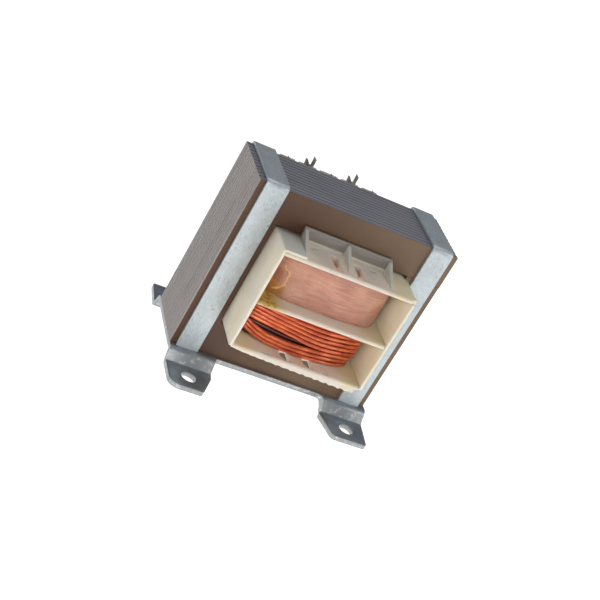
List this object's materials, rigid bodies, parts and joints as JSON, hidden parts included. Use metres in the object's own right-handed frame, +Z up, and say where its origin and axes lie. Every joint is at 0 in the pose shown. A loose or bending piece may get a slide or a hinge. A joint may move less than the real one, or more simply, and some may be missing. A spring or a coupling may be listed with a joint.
{
  "type": "laminated chassis transformer",
  "caption": "Interleaved steel core held by two clamp straps on a footed mounting plate, round a split bobbin with a thick and a fine copper winding.",
  "frame": {"origin": "middle of the four mounting holes, on the face the feet stand on", "axes": "+X along the width of the core, +Y from front to back, through the sheets, +Z up from the feet to the straps"},
  "size_m": [0.0667, 0.0544, 0.0634],
  "materials": {
    "plate_steel": "zinc plated steel, satin",
    "strap_zinc": "zinc plated steel, spangled",
    "e_lamination": "varnished silicon steel",
    "i_lamination": "varnished silicon steel",
    "bobbin_plastic": "natural nylon, slightly translucent",
    "shield_plastic": "natural nylon sheet",
    "fine_copper": "enamelled copper",
    "winding_tape": "clear polyester tape",
    "thick_copper": "enamelled copper",
    "lug_tin": "tinned brass"
  },
  "bodies": {
    "root": {"base_plate": "plate_steel", "left_strap": "strap_zinc", "right_strap": "strap_zinc", "e_pack_01": "e_lamination", "e_pack_02": "e_lamination", "e_pack_03": "e_lamination", "e_pack_04": "e_lamination", "e_pack_05": "e_lamination", "e_pack_06": "e_lamination", "e_pack_07": "e_lamination", "e_pack_08": "e_lamination", "e_pack_09": "e_lamination", "e_pack_10": "e_lamination", "e_pack_11": "e_lamination", "e_pack_12": "e_lamination", "i_pack_01": "i_lamination", "i_pack_02": "i_lamination", "i_pack_03": "i_lamination", "i_pack_04": "i_lamination", "i_pack_05": "i_lamination", "i_pack_06": "i_lamination", "i_pack_07": "i_lamination", "i_pack_08": "i_lamination", "i_pack_09": "i_lamination", "i_pack_10": "i_lamination", "i_pack_11": "i_lamination", "i_pack_12": "i_lamination", "bobbin": "bobbin_plastic", "left_shield": "shield_plastic", "right_shield": "shield_plastic", "primary_winding": "fine_copper", "primary_tape": "winding_tape", "secondary_winding": "thick_copper", "lug_1": "lug_tin", "lug_2": "lug_tin", "lug_3": "lug_tin", "lug_4": "lug_tin", "lug_5": "lug_tin"}
  },
  "joints": []
}
